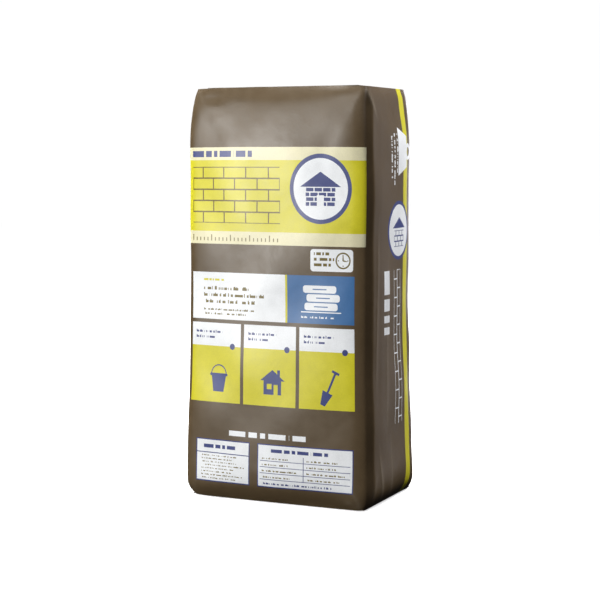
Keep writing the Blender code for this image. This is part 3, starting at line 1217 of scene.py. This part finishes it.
def paper_finish(rubbed_and_highlit_colour):
    """A node group for the varnish on printed sack kraft.

    It gives the eye a satin sheen over slightly cloudy ink, faint cockles a few centimetres wide, and duller
    paper along the creases. The creases are also paler, partly from rubbed ink and partly from a highlight
    painted along the raised folds.
    """
    add, given = new_group("printed_kraft_finish_and_painted_highlight", {"Print": "Color"},
                           {"Colour": "Color", "Roughness": "Float", "Normal": "Vector"})
    place = add("ShaderNodeTexCoord").outputs["Object"]
    place = add(VECTOR_MATH, {0: place, "Scale": 1.0 / MM}, operation="SCALE")
    worn = add("ShaderNodeAttribute", attribute_name="crease").outputs["Fac"]

    # The ink lies a little unevenly, over 14 mm clouds and over the paper's grain, drawn as coarse as 1.3 mm.
    cloudy = add("ShaderNodeTexNoise", {"Vector": place, "Scale": 1 / 14.0, "Detail": 3.0}).outputs["Fac"]
    grain = add("ShaderNodeTexNoise", {"Vector": place, "Scale": 1 / 1.3, "Detail": 2.0}).outputs["Fac"]
    uneven = add(MATH, (cloudy, 0.22, 0.79), operation="MULTIPLY_ADD")
    uneven = add(MATH, (grain, 0.20, uneven), operation="MULTIPLY_ADD")
    inked = add(VECTOR_MATH, {0: given["Print"], "Scale": uneven}, operation="SCALE")
    # Along the raised folds the print pales towards the rubbed colour. This is partly rubbed ink and partly a
    # painted highlight along each ridge.
    rubbed_and_highlit = add(MATH, (worn, grain), operation="MULTIPLY")
    rubbed_and_highlit = add(MATH, (rubbed_and_highlit, 0.80), operation="MULTIPLY")
    papers = {0: rubbed_and_highlit, 6: inked, 7: (*rubbed_and_highlit_colour, 1.0)}
    colour = add("ShaderNodeMix", papers, data_type="RGBA").outputs[2]

    rough = add(MATH, (cloudy, 0.14, 0.26), operation="MULTIPLY_ADD")
    rough = add(MATH, (worn, 0.10, rough), operation="MULTIPLY_ADD")

    # Cockles 24 mm across and 0.22 mm high, and fibres 0.012 mm high.
    cockle = add("ShaderNodeTexNoise", {"Vector": place, "Scale": 1 / 24.0, "Detail": 1.5}).outputs["Fac"]
    cockled = add("ShaderNodeBump", {"Height": cockle, "Strength": 1.0, "Distance": 0.22 * MM})
    fine = {"Height": grain, "Strength": 1.0, "Distance": 0.012 * MM, "Normal": cockled}
    fibres = add("ShaderNodeBump", fine)
    add("NodeGroupOutput", {"Colour": colour, "Roughness": rough, "Normal": fibres})


def panel_paper(name, artwork, colours):
    """The sack's printed kraft on one part of the sheet. Its artwork is laid on the ground in order."""
    material, add, shader = new_material(name)
    uv = add("ShaderNodeUVMap", uv_map="Sheet")
    upright = add(VECTOR_MATH, {0: uv, "Scale": 1.0 / MM}, operation="SCALE")
    downward = add("ShaderNodeMapping", {0: upright, "Location": (SACK_HEIGHT / MM, 0.0, 0.0),
                                         "Rotation": (0.0, 0.0, math.radians(90.0))}, vector_type="POINT")
    colour = (*colours.ground, 1.0)
    for shape in artwork:
        place = {"Sheet": downward if shape.reads_down else upright, **shape.place}
        ink = add("ShaderNodeGroup", place, node_tree=bpy.data.node_groups["printed_" + shape.form])
        inks = {0: ink, 6: colour, 7: (*getattr(colours, shape.ink), 1.0)}
        colour = add("ShaderNodeMix", inks, data_type="RGBA").outputs[2]
    finish = add("ShaderNodeGroup", {"Print": colour}, node_tree=bpy.data.node_groups["printed_kraft_finish_and_painted_highlight"])
    for socket, source in (("Base Color", "Colour"), ("Roughness", "Roughness"), ("Normal", "Normal")):
        material.node_tree.links.new(finish.outputs[source], shader[socket])
    return material


def print_sack(sack, colours):
    """Gives each part of the tube its printed paper. The parts meet where only the ground is printed."""
    for form in (box_form, wedge_form, ring_form, bond_form, words_form):
        form()
    paper_finish(colours.rubbed_and_highlit)
    panels = {
        "left_side": left_side_print(),
        "upper_front": upper_front_print(),
        "lower_front": lower_front_print(),
        "right_side": right_side_print(),
        "back": back_print(),
    }
    for name, artwork in panels.items():
        sack.data.materials.append(panel_paper("printed_kraft_" + name, artwork, colours))
    order = list(panels)
    sheet = sack.data.uv_layers["Sheet"].data
    for face in sack.data.polygons:
        u, v = sum((sheet[loop].uv for loop in face.loop_indices), Vector((0.0, 0.0))) / face.loop_total / MM
        if u < 0.0 or v < 0.0 or v > SACK_HEIGHT / MM:
            panel = "left_side"
        elif 0.0 < u < RIGHT_SIDE:
            panel = "upper_front" if v > FRONT_SPLIT else "lower_front"
        else:
            panel = "right_side" if u < BACK else "back"
        face.material_index = order.index(panel)


def bare_kraft(colours):
    """Unprinted brown sack kraft, which gives the eye matt paper with long fibres that lie along it."""
    material, add, shader = new_material("bare_brown_kraft")
    place = add("ShaderNodeTexCoord").outputs["Object"]
    place = add(VECTOR_MATH, {0: place, "Scale": 1.0 / MM}, operation="SCALE")
    # Fibres 0.9 mm wide and about 8 times as long, and 9 mm clouds.
    drawn = add(VECTOR_MATH, (place, (0.12, 1.0, 1.0)), operation="MULTIPLY")
    fibres = add("ShaderNodeTexNoise", {"Vector": drawn, "Scale": 1 / 0.9, "Detail": 4.0}).outputs["Fac"]
    cloudy = add("ShaderNodeTexNoise", {"Vector": place, "Scale": 1 / 9.0, "Detail": 2.0}).outputs["Fac"]
    tone = add(MATH, (fibres, 0.45, 0.66), operation="MULTIPLY_ADD")
    tone = add(MATH, (cloudy, 0.24, tone), operation="MULTIPLY_ADD")
    inked = add(VECTOR_MATH, {0: tuple(colours.kraft), "Scale": tone}, operation="SCALE")
    bump = add("ShaderNodeBump", {"Height": fibres, "Strength": 1.0, "Distance": 0.03 * MM})
    material.node_tree.links.new(inked.outputs[0], shader["Base Color"])
    material.node_tree.links.new(bump.outputs[0], shader["Normal"])
    shader["Roughness"].default_value = 0.72
    return material


# The stage

def standing(name, data, place, sight):
    """Stands a softbox or a camera somewhere, looking along a direction."""
    holder = bpy.data.objects.new(name, data)
    bpy.context.scene.collection.objects.link(holder)
    holder.location = place
    holder.rotation_euler = sight.to_track_quat("-Z", "Y").to_euler()
    return holder


def way_to(turn, rise):
    """The direction from the bag to something, by its turn from the front and its rise from level."""
    return Vector((math.sin(turn) * math.cos(rise), -math.cos(turn) * math.cos(rise), math.sin(rise)))


def floor_under_bag(stage):
    """A pale floor that shows only a soft shadow, and throws no light back onto the bag."""
    shadow_reach, clear_reach = 0.3, 1.3
    deselect_all()
    bpy.ops.mesh.primitive_circle_add(vertices=96, radius=8.0, fill_type="NGON")
    floor = bpy.context.object
    floor.name = floor.data.name = "pale_floor"
    material, add, shader = new_material("pale_studio_floor")
    shader["Base Color"].default_value = (*srgb("#F3F3F3"), 1.0)
    shader["Roughness"].default_value = 0.9
    shader["Specular IOR Level"].default_value = 0.0
    shader["Emission Color"].default_value = (*srgb("#FFFFFF"), 1.0)
    place = add("ShaderNodeTexCoord").outputs["Object"]
    away = add(VECTOR_MATH, (place,), operation="LENGTH").outputs["Value"]
    glow = add("ShaderNodeMapRange", {"Value": away, "From Min": shadow_reach, "From Max": clear_reach,
                                      "To Min": stage.floor_glow, "To Max": 1.0})
    material.node_tree.links.new(glow.outputs["Result"], shader["Emission Strength"])
    floor.data.materials.append(material)
    floor.visible_diffuse = False
    floor.visible_glossy = False


Softbox = namedtuple("Softbox", "name turn rise share size tint shine")
WARM_WHITE = (1.0, 0.985, 0.95)
COOL_WHITE = (1.0, 0.98, 1.09)
SOFTBOXES = (
    Softbox("key_softbox", -29.0, 7.0, 0.70, (0.62, 0.95), WARM_WHITE, True),
    Softbox("upper_front_softbox", -12.0, 28.0, 0.14, (0.4, 0.4), WARM_WHITE, True),
    Softbox("left_softbox", -85.0, 35.0, 1.0, (1.2, 1.2), WARM_WHITE, False),
    Softbox("overhead_softbox", -40.0, 70.0, 1.06, (0.8, 0.8), WARM_WHITE, True),
    Softbox("right_softbox", 60.0, 35.0, 0.142, (0.55, 0.9), COOL_WHITE, True),
    Softbox("side_fill_softbox", 140.0, 48.0, 2.0, (0.8, 0.8), WARM_WHITE, False),
    Softbox("side_strip_softbox", 146.0, 8.0, 0.075, (0.9, 2.0), COOL_WHITE, True),
    Softbox("backdrop_softbox", 205.0, 5.0, 1.1, (2.4, 1.6), COOL_WHITE, True),
)


def hang_softbox(kind, stage):
    """Hangs an area light round the bag. One without shine isn't mirrored in the paper's varnish."""
    light = bpy.data.lights.new(kind.name, "AREA")
    light.shape = "RECTANGLE"
    light.size, light.size_y = kind.size
    light.energy = stage.brightness * kind.share
    light.color = kind.tint
    away = way_to(math.radians(kind.turn), math.radians(kind.rise))
    middle = Vector((0.0, 0.0, SACK_HEIGHT / 2))
    holder = standing(kind.name, light, middle + away * stage.softbox_distance, -away)
    holder.visible_camera = False
    holder.visible_glossy = kind.shine


def white_room():
    """A world that looks white, and hardly lights the bag."""
    lighting_share = 0.01
    world = bpy.data.worlds.new("white_room")
    bpy.context.scene.world = world
    world.use_nodes = True
    tree = world.node_tree
    seen = add_node(tree, "ShaderNodeLightPath").outputs["Is Camera Ray"]
    strength = add_node(tree, MATH, (seen, 1.0, lighting_share), operation="MULTIPLY_ADD")
    background = tree.nodes["Background"].inputs
    background["Color"].default_value = (*srgb("#FFFFFF"), 1.0)
    tree.links.new(strength.outputs[0], background["Strength"])
    bpy.context.scene.view_settings.view_transform = "Standard"


def stand_camera(stage):
    """The camera of the photograph: nearly level with the bag's top, and looking slightly down."""
    camera = bpy.data.cameras.new("camera")
    camera.sensor_width = 36.0
    camera.lens = stage.lens
    place = way_to(stage.camera_turn, 0.0) * stage.camera_distance
    place.z = stage.camera_height
    bpy.context.scene.camera = standing("camera", camera, place, -way_to(stage.camera_turn, stage.camera_dip))


# Operators

class FillSack(bpy.types.Operator):
    """Cuts the paper tube, fills it with powder, creases it, pastes its flaps and prints it"""
    bl_idname = "cement_bag.fill_sack"
    bl_label = "Fill the sack"

    def execute(self, context):
        sizes = context.scene.cement_bag_sack
        sack = filled_tube(sizes)
        crease_paper(sack, sizes)
        paste_flaps(sack, sizes)
        select_only(sack)
        bpy.ops.object.shade_smooth_by_angle(angle=SACK_SMOOTHING)
        print_sack(sack, context.scene.cement_bag_print)
        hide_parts("sack")
        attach(sack, "root")
        return {"FINISHED"}


class PasteCovers(bpy.types.Operator):
    """Pastes the cover sheets over the two folded ends"""
    bl_idname = "cement_bag.paste_covers"
    bl_label = "Paste the covers"

    def execute(self, context):
        paper = panel_paper("printed_kraft_cover", [], context.scene.cement_bag_print)
        cover = cover_sheet("top_cover_paper", context.scene.cement_bag_sack.ply)
        cover.data.materials.append(paper)
        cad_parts["bottom_cover_sheet"].material_slots[0].material = paper
        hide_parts("top_cover_sheet")
        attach(cover, "root")
        return {"FINISHED"}


class FitValve(bpy.types.Operator):
    """Fits the paper valve sleeve into the top end"""
    bl_idname = "cement_bag.fit_valve"
    bl_label = "Fit the valve"

    def execute(self, context):
        sleeve = paper_sleeve("valve_paper_sleeve", context.scene.cement_bag_sack.ply)
        sleeve.data.materials.append(bare_kraft(context.scene.cement_bag_print))
        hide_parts("valve_sleeve")
        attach(sleeve, "root")
        return {"FINISHED"}


class SetStage(bpy.types.Operator):
    """Lays a pale floor, hangs the softboxes and stands the camera"""
    bl_idname = "cement_bag.set_stage"
    bl_label = "Set the stage"

    def execute(self, context):
        stage = context.scene.cement_bag_stage
        floor_under_bag(stage)
        for kind in SOFTBOXES:
            hang_softbox(kind, stage)
        white_room()
        stand_camera(stage)
        return {"FINISHED"}


class CementBagPanel(bpy.types.Panel):
    """Lists the steps that make the bag"""
    bl_idname = "VIEW3D_PT_cement_bag"
    bl_label = "Cement bag"
    bl_space_type = "VIEW_3D"
    bl_region_type = "UI"
    bl_category = "Cement bag"

    def draw(self, context):
        for step in STEPS:
            self.layout.operator(step.bl_idname)


STEPS = (FillSack, PasteCovers, FitValve, SetStage)
CLASSES = (SackSizes, PrintColours, StageSizes, *STEPS, CementBagPanel)


def register():
    for kind in CLASSES:
        bpy.utils.register_class(kind)
    bpy.types.Scene.cement_bag_sack = PointerProperty(type=SackSizes)
    bpy.types.Scene.cement_bag_print = PointerProperty(type=PrintColours)
    bpy.types.Scene.cement_bag_stage = PointerProperty(type=StageSizes)


def unregister():
    del bpy.types.Scene.cement_bag_stage
    del bpy.types.Scene.cement_bag_print
    del bpy.types.Scene.cement_bag_sack
    for kind in reversed(CLASSES):
        bpy.utils.unregister_class(kind)


def main():
    register()
    bpy.ops.cement_bag.fill_sack()
    bpy.ops.cement_bag.paste_covers()
    bpy.ops.cement_bag.fit_valve()
    bpy.ops.cement_bag.set_stage()


if __name__ == "__main__":
    main()
